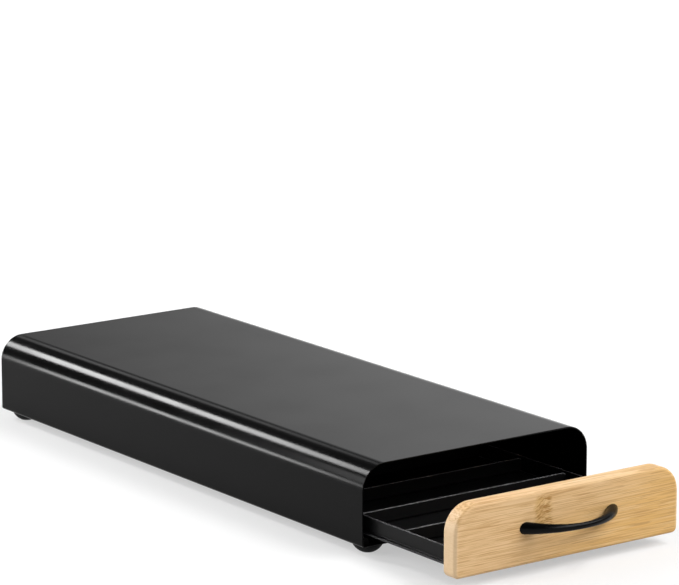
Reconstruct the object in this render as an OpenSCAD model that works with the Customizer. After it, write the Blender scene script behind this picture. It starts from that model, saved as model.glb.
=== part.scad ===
// Coffee pod drawer: a low housing of bent sheet steel that a small coffee machine stands on,
// and a shallow sheet steel tray with a bamboo front that slides out of it.
// Units are millimetres, +Z is up, -Y is the front and the ground is Z = 0.
// The origin is under the middle of the whole object with the drawer at its rest pull.

/* [Housing] */
// Outer width of the housing
housing_w = 180; // [150:1:240]
// Depth of the housing from front to back
housing_d = 430; // [340:1:500]
// Height of the side walls, without the feet
wall_h = 52.5; // [48:0.5:70]
// Thickness of the housing sheet
sheet = 1; // [0.8:0.1:1.4]
// Outer radius of the two long top bends
top_bend_r = 17; // [8:0.5:19]
// Outer radius of the two long bottom bends
low_bend_r = 2; // [1.6:0.1:3]
// Width of the flange turned in along the bottom of each wall
flange_w = 24; // [22:0.5:26]

/* [Back panel and braces] */
// Thickness of the back panel and of the two braces
panel_sheet = 1; // [0.8:0.1:1.4]
// How far the back panel sits inside the rear edge of the housing
back_recess = 1.5; // [0.5:0.1:4]
// Depth of the back panel's weld flanges
back_flange = 10; // [6:0.5:14]
// Centre line radius of the folds in the back panel and the braces
panel_bend_r = 1.5; // [1:0.1:2]
// Height of the open corner below each of the back panel's side flanges
corner_relief = 8; // [4:0.5:12]
// Width of a brace across the bottom
brace_w = 24; // [16:1:34]
// Height of a brace with its turned-up edges
brace_h = 4; // [3:0.25:5]
// Length of flange that each end of a brace is welded to
brace_lap = 8; // [5:0.5:8.5]
// Distance from the back of the housing to the rear brace
rear_brace_inset = 34; // [20:1:60]

/* [Feet and bumpers] */
// Diameter of a domed rubber foot at its glued face
foot_d = 20; // [14:0.5:20.5]
// Diameter of the flat at the bottom of a foot
foot_flat_d = 8; // [4:0.5:10]
// Height of a foot
foot_h = 6; // [4:0.25:9]
// Distance from each wall's outer face to a foot's middle
foot_inset = 12; // [12:0.25:13]
// Distance from the front edge of the housing to a front foot's middle
foot_front_inset = 10.5; // [10.5:0.25:20]
// Distance from the back edge of the housing to a rear foot's middle
foot_rear_inset = 14; // [10.5:0.25:20]
// Diameter of a closing bumper on the back panel
bumper_d = 10; // [7:0.5:12]
// Diameter of the flat at the tip of a closing bumper
bumper_flat_d = 5; // [3:0.5:6]
// Height of a closing bumper
bumper_h = 5; // [3:0.25:8]
// Distance from each housing wall to a closing bumper's middle
bumper_inset = 29; // [20:1:50]

/* [Runners, keepers and stops] */
// Thickness of the runner, keeper and stop strips
rail_t = 0.8; // [0.6:0.1:1]
// Centre line radius of the folds in these strips
rail_bend_r = 0.8; // [0.6:0.05:1]
// Height of the running face above the bottom flange
rail_h = 6.5; // [5.6:0.1:8]
// Width of the runner's ledge under the lip, from the wall
rail_ledge = 8; // [7:0.25:9]
// Width of the runner's weld foot on the bottom flange
rail_foot = 4; // [3:0.25:4.5]
// Height of a keeper's weld flange on the wall
keeper_h = 7; // [5.5:0.25:8]
// Length of a stop bracket's weld plate
stop_l = 12; // [8:0.5:20]
// Height of a stop bracket
stop_h = 5; // [4:0.25:6]
// Height of a stop bracket above the keeper's leg
stop_lift = 0.8; // [0.5:0.1:1.5]

/* [Tray] */
// Thickness of the tray sheet
tray_t = 0.8; // [0.6:0.1:1]
// Gap between each tray wall and the housing wall beside it
tray_side_gap = 5; // [4.6:0.1:7]
// Height of the tray from its lips to its rim
tray_h = 11.2; // [10:0.2:20]
// Reach of the folded lip beyond each tray wall
lip_reach = 2.6; // [2:0.1:3]
// Centre line radius of the fold between a tray wall and its lip
tray_bend_r = 0.8; // [0.6:0.05:1.2]
// Rows of pods from front to back
rows = 9; // [6:1:9]
// How far the row dividers stop below the rim
divider_drop = 1; // [0.5:0.25:4]
// Width of a row divider's weld foot
divider_foot = 6; // [4:0.25:8]
// Outer radius of the fold in a row divider
divider_bend_r = 1.6; // [1.2:0.1:2.4]

/* [Front panel] */
// Thickness of the bamboo front
front_t = 12.3; // [10:0.1:16]
// Radius of the bamboo front's two top corners
front_corner_r = 17.8; // [12:0.1:22]
// Radius of the bamboo front's two bottom corners
front_low_r = 4; // [3.2:0.2:8]
// Radius that softens the edges of the bamboo front
front_edge_r = 2.2; // [1:0.1:3]
// Distance between the outer panel screws
screw_span = 136; // [100:1:140]
// Distance between the inner panel screws
inner_screw_span = 56; // [40:1:80]
// Diameter of the panel screws
screw_d = 3.5; // [3:0.1:4.5]
// Length of the panel screws under the head
screw_l = 9; // [6:0.5:9.5]
// Diameter of the panel screw heads
screw_head_d = 6.5; // [5.5:0.1:8]
// Height of the panel screw heads
screw_head_h = 2; // [1.4:0.1:2.6]

/* [Handle] */
// Distance between the two handle screws
handle_span = 64; // [50:1:70]
// How far each end of the bow's centre line lies outside its screw
bow_spread = 1.7; // [1.2:0.1:2.2]
// How far the handle stands out from the front
handle_reach = 17.9; // [16:0.1:24]
// Thickness of the handle in the middle
grip_d = 4.1; // [4:0.1:6]
// Thickness of the handle where it meets the front
root_d = 7.8; // [7.6:0.1:10]
// Height of the handle above the bottom of the front
handle_up = 23.5; // [16:0.1:30]
// Diameter of the handle screws
bolt_d = 4; // [3:0.1:4.2]
// Depth of the screw holes in the handle
bolt_hole_l = 4; // [3.6:0.1:4.2]
// Diameter of the handle screw heads
bolt_head_d = 7.6; // [6.5:0.1:9]
// Height of the handle screw heads
bolt_head_h = 2.6; // [2:0.1:3.5]

/* [Travel] */
// How far the drawer stands out in the rest pose
rest_pull = 90.8; // [0:0.1:120]
// How far the drawer comes out before its ears meet the stops
max_pull = 320; // [200:1:330]

/* [Clearances] */
// Gap between the bamboo front and each housing wall
front_side_gap = 0.7; // [0.5:0.1:3]
// Gap between the bamboo front and the top of the mouth
front_top_gap = 5.4; // [0.5:0.1:8]
// Gap between the bamboo front and the bottom flanges
front_low_gap = 0.3; // [0.3:0.1:2]
// Gap under the tray's lips
slide_gap = 0.3; // [0.3:0.05:0.5]
// Gap over the tray's lips
lift_gap = 0.4; // [0.3:0.05:0.8]
// Gap between a tray wall and what reaches towards it
wall_gap = 0.7; // [0.5:0.05:1]
// Gap between the ends of the runners and the pieces before and behind them
rail_end_gap = 1.5; // [0.5:0.1:4]
// Gap between the housing's bends and the pieces inside them
bend_gap = 0.3; // [0.2:0.05:0.6]
// Gap left at the bumpers and at the stops at either end of the travel
stop_gap = 0.4; // [0.3:0.05:1]
// Gap at each end of a row divider
divider_gap = 0.3; // [0.2:0.05:1]
// Gap around a screw in its hole
hole_gap = 0.1; // [0.05:0.05:0.25]
// Gap beyond the tip of a screw
tip_gap = 0.4; // [0.2:0.1:1]

/* [Hidden] */
$fn = 96;

// Bottom edge of the housing walls, and the top face of their flanges
base_z = foot_h;
flange_z = base_z + sheet;
// Top of the housing and the underside of its top sheet
top_z = base_z + wall_h;
ceiling_z = top_z - sheet;
// Inner half width of the housing
inner_x = housing_w / 2 - sheet;
// Front edge of the housing, its rear edge, and the inner face of the back panel
front_y = (rest_pull + handle_reach - housing_d) / 2;
rear_y = front_y + housing_d;
back_inner_y = rear_y - back_recess - panel_sheet;

// Front face of the bamboo front and its back face, at the rest pull
drawer_y = front_y - rest_pull;
drawer_back_y = drawer_y + front_t;
front_w = 2 * (inner_x - front_side_gap);
front_z = flange_z + front_low_gap;
front_h = ceiling_z - front_top_gap - front_z;
handle_z = front_z + handle_up;

// Running face of the runners, the tray's underside, floor, lip and rim
rail_z = flange_z + rail_h;
tray_z = rail_z + slide_gap;
floor_z = tray_z + tray_t;
lip_z = tray_z + 2 * tray_t;
rim_z = tray_z + tray_h;
// Half width of the tray over its walls and over its lips
tray_x = inner_x - tray_side_gap;
lip_x = tray_x + lip_reach;
// The tray fills the depth between the closed front and the bumpers
tray_l = back_inner_y - bumper_h - stop_gap - (front_y + front_t);
row_pitch = (tray_l - 2 * tray_t) / rows;
divider_h = tray_h - tray_t - divider_drop;
screw_z = (floor_z + rim_z) / 2;

// Underside of the keepers, where the runners and keepers start and end, and the stop brackets
keeper_z = lip_z + lift_gap;
rail_y = front_y + front_t + rail_end_gap;
rail_l = back_inner_y - back_flange - rail_end_gap - rail_y;
stop_z = keeper_z + rail_t + stop_lift;
// The ears on the tray's rear wall meet the brackets at the full pull
ear_y = front_y - max_pull + front_t + tray_l - tray_t;
stop_y = ear_y - stop_gap - rail_t;
ear_x = inner_x - rail_t - wall_gap;

// Counterbore for the handle screw heads, on the back of the bamboo front
counterbore_h = bolt_head_h + 2 * hole_gap;
// Facets of the bamboo front's corners and of its softened edges
corner_fn = 48;
edge_fn = 16;
// Rings along the handle, and the sides of a ring
bow_rings = 30;
ring_sides = 16;

DIVIDERS = [for (i = [1 : rows - 1]) str("row_divider_", i)];

// ---- Helpers ----

// Draws its 2D children in X and Z and stretches them from y for a length l
module along_y(y, l) {
    translate([0, y + l, 0]) rotate([90, 0, 0]) linear_extrude(l) children();
}

// Draws its 2D children in Y and Z and stretches them across the width w
module across_x(w) {
    translate([-w / 2, 0, 0]) rotate([90, 0, 90]) linear_extrude(w) children();
}

// A cylinder along Y that starts at p
module rod_y(p, d, l) {
    translate(p) rotate([-90, 0, 0]) cylinder(d = d, h = l);
}

function unit(v) = v / norm(v);

// Section of a folded strip of thickness t. The path is its centre line, with right-angled
// corners, and bends holds the centre line radius of each corner.
module folded_strip(path, t, bends) {
    last = len(path) - 1;
    for (i = [0 : last - 1]) {
        run = unit(path[i + 1] - path[i]);
        from = path[i] + run * (i > 0 ? bends[i - 1] : 0);
        to = path[i + 1] - run * (i < last - 1 ? bends[i] : 0);
        length = norm(to - from);
        translate((from + to) / 2)
            square([abs(run.x) > 0 ? length : t, abs(run.x) > 0 ? t : length], center = true);
    }
    for (i = [1 : last - 1])
        fold(path[i], unit(path[i] - path[i - 1]), unit(path[i + 1] - path[i]), t, bends[i - 1]);
}

// One quarter ring of a folded strip, at the corner p between two directions
module fold(p, before, after, t, r) {
    outer = r + t / 2;
    out = before - after;
    intersection() {
        translate(p - r * out) difference() {
            circle(outer);
            circle(r - t / 2);
        }
        translate(p - r * out + out * outer / 2) square(outer, center = true);
    }
}

// Outline of the housing mouth: square at the bottom, with two round top corners
module arch(w, low, high, r) {
    translate([-w / 2, low]) square([w, high - low - r]);
    translate([-w / 2 + r, low]) square([w - 2 * r, high - low]);
    for (side = [-1, 1]) translate([side * (w / 2 - r), high - r]) circle(r);
}

// Domed rubber bumper with its glued face at z = h and its flat at z = 0
module dome(d, flat_d, h) {
    // Height of the middle of the ball that both circles lie on
    middle = (d * d / 4 - flat_d * flat_d / 4 + h * h) / (2 * h);
    rotate_extrude() intersection() {
        translate([0, middle]) circle(norm([flat_d / 2, middle]));
        square([d / 2, h]);
    }
}

// ---- Housing ----

// One bent sheet: the top, both walls and a flange turned in under each wall
module housing_shell() {
    x = housing_w / 2 - sheet / 2;
    low = base_z + sheet / 2;
    high = top_z - sheet / 2;
    tip = housing_w / 2 - flange_w;
    low_r = low_bend_r - sheet / 2;
    top_r = top_bend_r - sheet / 2;
    color([0.05, 0.05, 0.055])
        along_y(front_y, housing_d)
            folded_strip(
                [[-tip, low], [-x, low], [-x, high], [x, high], [x, low], [tip, low]],
                sheet, [low_r, top_r, top_r, low_r]);
}

// Back panel: a pan with weld flanges along the top, the bottom and both sides
module back_panel() {
    t = panel_sheet;
    bend = panel_bend_r;
    corner_r = top_bend_r - sheet;
    plate_y = back_inner_y + t / 2;
    tip_y = back_inner_y - back_flange;
    straight_w = 2 * (inner_x - corner_r);
    side_low = flange_z + corner_relief;
    side_h = ceiling_z - corner_r - side_low;
    color([0.07, 0.07, 0.075]) {
        along_y(back_inner_y, t) {
            arch(2 * (inner_x - bend) - t, flange_z + bend, ceiling_z - bend, corner_r);
            for (side = [-1, 1]) intersection() {
                translate([side * (inner_x - corner_r), ceiling_z - corner_r])
                    circle(corner_r - bend_gap);
                translate([side * (inner_x - corner_r / 2), ceiling_z - corner_r / 2])
                    square(corner_r, center = true);
            }
        }
        across_x(straight_w)
            folded_strip(
                [[tip_y, flange_z + t / 2], [plate_y, flange_z + t / 2],
                 [plate_y, ceiling_z - t / 2], [tip_y, ceiling_z - t / 2]],
                t, [bend, bend]);
        translate([0, 0, side_low]) linear_extrude(side_h)
            folded_strip(
                [[t / 2 - inner_x, tip_y], [t / 2 - inner_x, plate_y],
                 [inner_x - t / 2, plate_y], [inner_x - t / 2, tip_y]],
                t, [bend, bend]);
    }
}

// A shallow channel welded across the bottom flanges, with its front edge at y
module brace(y) {
    t = panel_sheet;
    w = housing_w - 2 * flange_w + 2 * brace_lap;
    color([0.07, 0.07, 0.075])
        across_x(w)
            folded_strip(
                [[y + t / 2, flange_z + brace_h], [y + t / 2, flange_z + t / 2],
                 [y + brace_w - t / 2, flange_z + t / 2], [y + brace_w - t / 2, flange_z + brace_h]],
                t, [panel_bend_r, panel_bend_r]);
}

module front_brace() {
    brace(front_y + front_t + rail_end_gap);
}

module rear_brace() {
    brace(rear_y - rear_brace_inset - brace_w);
}

// Runner along the right wall: a ledge under the tray's lip, a leg welded to the wall, and a
// stem with a foot that stands on the bottom flange
module runner() {
    t = rail_t;
    leg_x = inner_x - t / 2;
    leg_z = base_z + low_bend_r + bend_gap;
    stem_x = inner_x - rail_ledge + t / 2;
    foot_x = inner_x - rail_ledge - rail_foot + t;
    ledge_z = rail_z - t / 2;
    foot_z = flange_z + t / 2;
    color([0.16, 0.16, 0.17])
        along_y(rail_y, rail_l)
            folded_strip(
                [[leg_x, leg_z], [leg_x, ledge_z],
                 [stem_x, ledge_z], [stem_x, foot_z], [foot_x, foot_z]],
                t, [rail_bend_r, rail_bend_r, rail_bend_r]);
}

module right_runner() {
    runner();
}

module left_runner() {
    mirror([1, 0, 0]) runner();
}

// Keeper on the right wall: an angle strip with a leg over the tray's lip
module keeper() {
    t = rail_t;
    web_x = inner_x - t / 2;
    color([0.16, 0.16, 0.17])
        along_y(rail_y, rail_l)
            folded_strip(
                [[web_x, keeper_z + keeper_h], [web_x, keeper_z + t / 2],
                 [tray_x + wall_gap, keeper_z + t / 2]],
                t, [rail_bend_r]);
}

module right_keeper() {
    keeper();
}

module left_keeper() {
    mirror([1, 0, 0]) keeper();
}

// Stop bracket on the right keeper: a weld plate with a tab turned in across the ear's path
module stop() {
    t = rail_t;
    plate_x = inner_x - 3 * t / 2;
    color([0.16, 0.16, 0.17])
        translate([0, 0, stop_z]) linear_extrude(stop_h)
            folded_strip(
                [[plate_x, stop_y - stop_l], [plate_x, stop_y + t / 2],
                 [tray_x + wall_gap, stop_y + t / 2]],
                t, [rail_bend_r]);
}

module right_stop() {
    stop();
}

module left_stop() {
    mirror([1, 0, 0]) stop();
}

// Rubber foot in one corner: side is -1 or 1 across the width, and end -1 or 1 along the depth
module foot(side, end) {
    x = side * (housing_w / 2 - foot_inset);
    y = end < 0 ? front_y + foot_front_inset : front_y + housing_d - foot_rear_inset;
    color([0.04, 0.04, 0.04]) translate([x, y, 0]) dome(foot_d, foot_flat_d, foot_h);
}

// Rubber bumper that the tray's rear wall closes against
module bumper(side) {
    color([0.04, 0.04, 0.04])
        translate([side * (inner_x - bumper_inset), back_inner_y, screw_z]) rotate([90, 0, 0])
            translate([0, 0, bumper_h]) mirror([0, 0, 1]) dome(bumper_d, bumper_flat_d, bumper_h);
}

// ---- Drawer ----

// Folded tray: floor, two walls that stand on double lips, and front and rear walls
module tray() {
    t = tray_t;
    rear = drawer_back_y + tray_l;
    color([0.1, 0.1, 0.11]) difference() {
        union() {
            along_y(drawer_back_y, tray_l) {
                translate([-lip_x + t, tray_z]) square([2 * (lip_x - t), t]);
                for (side = [-1, 1]) {
                    translate([side * (lip_x - t), floor_z]) circle(t);
                    folded_strip(
                        [[side * (tray_x - t / 2), rim_z], [side * (tray_x - t / 2), lip_z - t / 2],
                         [side * (lip_x - t), lip_z - t / 2]],
                        t, [tray_bend_r]);
                }
            }
            for (y = [drawer_back_y, rear - t])
                translate([-tray_x, y, tray_z]) cube([2 * tray_x, t, tray_h]);
            // Ears that meet the stop brackets
            translate([-ear_x, rear - t, stop_z]) cube([2 * ear_x, t, rim_z - stop_z - t]);
        }
        panel_screw_holes(drawer_back_y - t, 3 * t);
    }
}

// Holes for the four panel screws, from y for a length l
module panel_screw_holes(y, l) {
    for (x = [screw_span / 2, inner_screw_span / 2], side = [-1, 1])
        rod_y([side * x, y, screw_z], screw_d + 2 * hole_gap, l);
}

// Angle strip between two rows of pods, welded to the tray floor
module row_divider(i) {
    t = tray_t;
    y = drawer_back_y + t + i * row_pitch;
    r = divider_bend_r - t / 2;
    color([0.1, 0.1, 0.11])
        across_x(2 * (tray_x - t - divider_gap))
            folded_strip(
                [[y, floor_z + divider_h], [y, floor_z + t / 2],
                 [y + divider_foot - t / 2, floor_z + t / 2]],
                t, [r]);
}

// Four screws through the tray's front wall into the bamboo
module panel_screws() {
    y = drawer_back_y + tray_t;
    color([0.55, 0.55, 0.57])
        for (x = [screw_span / 2, inner_screw_span / 2], side = [-1, 1]) {
            rod_y([side * x, y - screw_l, screw_z], screw_d, screw_l);
            rod_y([side * x, y, screw_z], screw_head_d, screw_head_h);
        }
}

// A disc with softened rims, in X and Z, from y = 0 to the thickness of the front
module soft_disc(r) {
    rotate([-90, 0, 0]) rotate_extrude($fn = corner_fn) intersection() {
        square([r, front_t]);
        union() {
            square([r - front_edge_r, front_t]);
            translate([0, front_edge_r]) square([r, front_t - 2 * front_edge_r]);
            for (z = [front_edge_r, front_t - front_edge_r])
                translate([r - front_edge_r, z]) circle(front_edge_r, $fn = edge_fn);
        }
    }
}

// Solid bamboo front with round top corners, soft edges and its screw holes
module bamboo_front() {
    color([0.85, 0.68, 0.44]) difference() {
        translate([0, drawer_y, front_z]) hull()
            for (side = [-1, 1]) {
                translate([side * (front_w / 2 - front_corner_r), 0, front_h - front_corner_r])
                    soft_disc(front_corner_r);
                translate([side * (front_w / 2 - front_low_r), 0, front_low_r])
                    soft_disc(front_low_r);
            }
        panel_screw_holes(drawer_back_y - screw_l - tip_gap, 2 * screw_l);
        for (side = [-1, 1]) {
            x = side * handle_span / 2;
            rod_y([x, drawer_y - front_t, handle_z], bolt_d + 2 * hole_gap, 3 * front_t);
            rod_y([x, drawer_back_y - counterbore_h, handle_z],
                  bolt_head_d + 4 * hole_gap, 2 * counterbore_h);
        }
    }
}

// Bow handle: a round bar along one arc, thicker towards its ends, which are cut flush with
// the bamboo front. The bar is drawn a little beyond the cut.
bow_span = handle_span + 2 * bow_spread;
bow_rise = handle_reach - grip_d / 2;
bow_bend_r = (bow_span ^ 2 / 4 + bow_rise ^ 2) / (2 * bow_rise);
bow_end = asin(bow_span / 2 / bow_bend_r);
bow_over = asin(root_d / bow_bend_r);
function bow_x(a) = bow_bend_r * sin(a);
function bow_out(a) = bow_rise - bow_bend_r * (1 - cos(a));
function bow_r(x) = grip_d / 2 + (root_d - grip_d) / 2 * (2 * x / bow_span) ^ 2;
function bow_ring(a) = let (x = bow_x(a), y = bow_out(a), r = bow_r(x))
    [for (k = [0 : ring_sides - 1]) let (c = 360 * k / ring_sides)
        [x + r * cos(c) * sin(a), -y - r * cos(c) * cos(a), r * sin(c)]];

module handle() {
    n = ring_sides;
    sweep = bow_end + bow_over;
    points = [for (i = [0 : bow_rings]) each bow_ring(sweep * (1 - 2 * i / bow_rings))];
    walls = [for (i = [0 : bow_rings - 1], k = [0 : n - 1])
        [i * n + k, i * n + (k + 1) % n, (i + 1) * n + (k + 1) % n, (i + 1) * n + k]];
    caps = [[for (k = [n - 1 : -1 : 0]) k], [for (k = [0 : n - 1]) bow_rings * n + k]];
    color([0.03, 0.03, 0.03]) translate([0, drawer_y, handle_z]) difference() {
        polyhedron(points, concat(walls, caps));
        translate([-bow_span, 0, -root_d]) cube([2 * bow_span, 2 * root_d, 2 * root_d]);
        for (side = [-1, 1])
            rod_y([side * handle_span / 2, -bolt_hole_l, 0],
                  bolt_d + 2 * hole_gap, 2 * bolt_hole_l);
    }
}

// Two screws from the back of the bamboo into the ends of the handle
module handle_screws() {
    seat_y = drawer_back_y - counterbore_h;
    tip_y = drawer_y - bolt_hole_l + tip_gap;
    color([0.55, 0.55, 0.57])
        for (side = [-1, 1]) {
            x = side * handle_span / 2;
            rod_y([x, tip_y, handle_z], bolt_d, seat_y - tip_y);
            rod_y([x, seat_y, handle_z], bolt_head_d, bolt_head_h);
        }
}

housing_shell();
back_panel();
front_brace();
rear_brace();
left_runner();
right_runner();
left_keeper();
right_keeper();
left_stop();
right_stop();
foot(-1, -1);  // foot_front_left
foot(1, -1);  // foot_front_right
foot(-1, 1);  // foot_rear_left
foot(1, 1);  // foot_rear_right
bumper(-1);  // left_bumper
bumper(1);  // right_bumper
tray();
for (i = [1 : rows - 1])
    row_divider(i);
panel_screws();
bamboo_front();
handle();
handle_screws();
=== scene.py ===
"""Looks of a coffee pod drawer: a glossy bent-steel housing with a bamboo-fronted steel tray.

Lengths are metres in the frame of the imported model: +Z up, the front towards -Y, the ground at
z = 0. Places are worked out from the boxes of the CAD nodes that each piece stands for.
"""

import math

import bmesh
import bpy
from mathutils import Matrix, Vector


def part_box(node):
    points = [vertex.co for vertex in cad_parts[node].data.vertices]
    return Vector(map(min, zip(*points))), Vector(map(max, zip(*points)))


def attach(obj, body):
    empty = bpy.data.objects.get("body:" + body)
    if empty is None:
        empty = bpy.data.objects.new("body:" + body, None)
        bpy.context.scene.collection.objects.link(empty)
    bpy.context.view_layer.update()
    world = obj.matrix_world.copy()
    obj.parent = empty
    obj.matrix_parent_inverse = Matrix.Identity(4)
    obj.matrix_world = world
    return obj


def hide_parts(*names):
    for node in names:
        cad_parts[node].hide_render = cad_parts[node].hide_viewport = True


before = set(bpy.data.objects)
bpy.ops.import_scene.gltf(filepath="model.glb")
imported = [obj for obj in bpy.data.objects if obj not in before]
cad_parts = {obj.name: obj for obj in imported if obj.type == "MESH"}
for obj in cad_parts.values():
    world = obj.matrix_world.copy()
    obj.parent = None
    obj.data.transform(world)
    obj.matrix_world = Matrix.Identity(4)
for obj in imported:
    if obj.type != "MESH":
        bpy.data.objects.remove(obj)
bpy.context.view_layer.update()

MM = 0.001
# Below these, a turn in a path counts as straight and a distance as none
STRAIGHT = 1e-6
TINY = 1e-7

# Sheets and bends
SHEET = 1.0 * MM
TOP_BEND_R = 17.0 * MM
LOW_BEND_R = 2.0 * MM
FLANGE_W = 24.0 * MM
PANEL_SHEET = 1.0 * MM
PANEL_BEND_R = 2.0 * MM
PANEL_LOW_R = 3.0 * MM
RAIL_T = 0.8 * MM
TRAY_T = 0.8 * MM
RAIL_BEND = 0.8 * MM
TRAY_BEND = 0.8 * MM
DIVIDER_BEND = 1.2 * MM
END_WALL_BEND = 1.2 * MM
WELD_GAP = 0.04 * MM
BEND_STEPS = 10
LONG_BEND_STEPS = 40

# Edges count as sharp from these angles, in degrees
SHARP = 40.0
SCREW_SHARP = 50.0
PAN_SHARP = 60.0

# Softened edges, and the rounded free corners of strips
EDGE_R = 0.2 * MM
COVER_EDGE_R = 0.28 * MM
TRAY_EDGE_R = 0.3 * MM
FINE_EDGE_R = 0.16 * MM
SCREW_EDGE_R = 0.08 * MM
BRACE_CORNER_R = 1.5 * MM
RAIL_CORNER_R = 1.2 * MM
STOP_CORNER_R = 1.0 * MM
DIVIDER_CORNER_R = 2.5 * MM

# Runner: the width of its foot, and the gap that its leg leaves for the bend of the flange
RUNNER_FOOT_W = 4.0 * MM
RUNNER_LEG_LIFT = 1.3 * MM

# Tray: the reach of its lips, the room beside the dividers, the tabs under its end walls and how
# far these lap into the side walls. Its sheet is drawn a hair thin, so that the two layers of a
# lip don't touch.
LIP_REACH = 2.6 * MM
DIVIDER_GAP = 0.3 * MM
END_TAB = 6.0 * MM
END_WALL_LAP = 0.1 * MM
HEM_FIT = 0.985

# Bamboo front
BOARD_TOP_R = 17.8 * MM
BOARD_LOW_R = 4.0 * MM
BOARD_EDGE_R = 2.2 * MM
BOARD_CORNER_STEPS = 28
BOARD_EDGE_STEPS = 8

# Handle: the span between its screws, and between the ends of its centre line
HANDLE_SPAN = 64.0 * MM
BOW_SPAN = 67.4 * MM
HANDLE_REACH = 17.9 * MM
GRIP_D = 4.1 * MM
ROOT_D = 7.8 * MM
HANDLE_SIDES = 40
HANDLE_RINGS = 110

# Panel screws, and the bolts of the handle
SCREW_D = 3.5 * MM
SCREW_HEAD_D = 6.5 * MM
SCREW_HEAD_H = 2.0 * MM
SCREW_L = 9.0 * MM
SCREW_PITCH = 1.3 * MM
SCREW_XS = (-68.0 * MM, -28.0 * MM, 28.0 * MM, 68.0 * MM)
BOLT_D = 4.0 * MM
BOLT_HEAD_D = 7.6 * MM
BOLT_HEAD_H = 2.6 * MM
BOLT_PITCH = 0.7 * MM
# Their holes: the gap all round, the bore in the handle and the room beyond a screw's tip
HOLE_GAP = 0.1 * MM
BOLT_BORE_L = 4.0 * MM
BLIND_ROOM = 0.4 * MM
# One turn of thread: each step along the pitch, with 0 for its root or 1 for its crest
THREAD_DEPTH = 0.45 * MM
THREAD_START = 1.2
THREAD_SHAPE = ((0.0, 0), (0.4, 1), (0.5, 1), (0.9, 0))
NECK = 0.02 * MM
# A head's round rim, and the height of its side and the arms of its recess as shares of its size
HEAD_RIM = 0.2 * MM
HEAD_SIDE = 0.35
HEAD_STEPS = 10
RECESS_ARM = 0.3
RECESS_SLOT = 0.075
LATHE_STEPS = 56

# Feet and bumpers: their flat tips, the rim and bevel of their glued face, and how their rings
# gather towards the tip
FOOT_FLAT_D = 8.0 * MM
BUMPER_FLAT_D = 5.0 * MM
DOME_RIM = 0.35 * MM
DOME_BEVEL = (0.1 * MM, 0.12 * MM)
DOME_STEPS = 18
DOME_SPREAD = 1.3

# Camera: where it stands, where it looks and its lens
CAMERA_AT = Vector((-1.38139, -1.90541, 0.64993))
CAMERA_AZIMUTH = math.radians(-36.1347)
CAMERA_ELEVATION = math.radians(12.5201)
CAMERA_ROLL = math.radians(0.0229)
CAMERA_LENS = 193.949
CAMERA_CLIP_END = 50.0

# Most of a noise lies in this range
NOISE_RANGE = (0.3, 0.7)

# Paint: cycles per metre of its clouds and of its flecks, how far the clouds sway the gloss, and
# how the flecks break up the lighter edge line, which is wear and, on the tray, a painted highlight
CLOUD_SCALE = 22.0
FLECK_SCALE = 900.0
CLOUD_SWAY = (0.88, 1.14)
FLECKS = (0.35, 0.62, 0.4, 1.0)
# An edge is where the cosine between the plain and the rounded normal falls from the first value
# to the second
EDGE_COSINES = (0.97, 0.8)
EDGE_SAMPLES = 4
# The tray's edges are painted lighter along its lower fold and its rim, as a painted highlight, and
# not on the edges between them
FOLD_SHEEN_BAND = 1.2 * MM
RIM_SHEEN_BAND = 2.2 * MM
SPARED_FADE = 0.4 * MM

# Cycles per metre of the detail on rubber and zinc
RUBBER_GRAIN = 2600.0
RUBBER_BLOOM = 180.0
ZINC_GRAIN = 3000.0
ZINC_CLOUD = 420.0

# Bamboo grain: cycles per metre along the fibres (X), through the board (Y) and up it (Z)
SWAY_SCALE = (5.0, 14.0, 14.0)
SWAY = 2.4 * MM
HUE_SCALE = (8.0, 30.0, 30.0)
BAND_SCALE = (4.0, 40.0, 150.0)
VEIN_SCALE = (15.0, 350.0, 1500.0)
DASH_SCALE = (40.0, 450.0, 2000.0)
DASH_SHIFT = (3.1, 0.0, 7.7)
HAIR_SCALE = (60.0, 700.0, 3000.0)

# Bamboo colours
SAND = (0.690, 0.455, 0.232, 1.0)
HONEY = (0.690, 0.415, 0.142, 1.0)
PALE = (0.760, 0.545, 0.310, 1.0)
DARK = (0.470, 0.262, 0.092, 1.0)
KNUCKLE_TINT = (0.580, 0.350, 0.110, 1.0)
KNUCKLE_DARK = (0.345, 0.170, 0.042, 1.0)
STREAK_DARK = (0.400, 0.205, 0.055, 1.0)
END_PALE = (0.752, 0.549, 0.337, 1.0)

# Layers of grain: a noise, its value where the layer starts and where it is full, and the full
# layer's strength and colour
GRAIN_LAYERS = (
    ("band", 0.50, 0.68, 0.12, DARK),
    ("band", 0.50, 0.34, 0.14, PALE),
    ("vein", 0.53, 0.58, 0.42, DARK),
    ("vein", 0.46, 0.41, 0.42, PALE),
    ("dash", 0.57, 0.61, 0.70, DARK),
    ("hair", 0.56, 0.70, 0.20, DARK),
)

# Sand turns to honey to the right and downwards: a share of noise, a slope along X, and a slope
# along Z from a height
HUE_SHARE = 0.9
HONEY_SLOPE_X = 4.5
HONEY_SLOPE_Z = 9.0
HONEY_Z = 30.0 * MM
HONEY_FADE = (0.2, 0.75)

# Knuckle of the bamboo: its middle along X and above the board's foot. Each pair of lengths is
# the start and the end of a fade: away from the middle up and down, sideways, and into the board.
KNUCKLE_X = -20.5 * MM
KNUCKLE_Z = 32.3 * MM
KNUCKLE_TALL = (8.5 * MM, 10.5 * MM)
KNUCKLE_WIDE = (4.0 * MM, 8.0 * MM)
KNUCKLE_DEEP = (5.5 * MM, 7.0 * MM)
WAVER_SCALE = (70.0, 70.0, 260.0)
WAVER = 6.0 * MM
# Leaning smudges on its left, in a column that shifts to the left downwards
SMUDGE_SCALE = (210.0, 210.0, 1150.0)
SMUDGE_SHIFT = (5.3, 0.0, 1.9)
SMUDGE_LEAN = 0.6
SMUDGE_X = 2.4 * MM
SMUDGE_SLOPE = 0.12
SMUDGE_WIDE = (1.2 * MM, 5.4 * MM)
SMUDGES = (0.43, 0.60, 0.0, 0.95)
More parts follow.
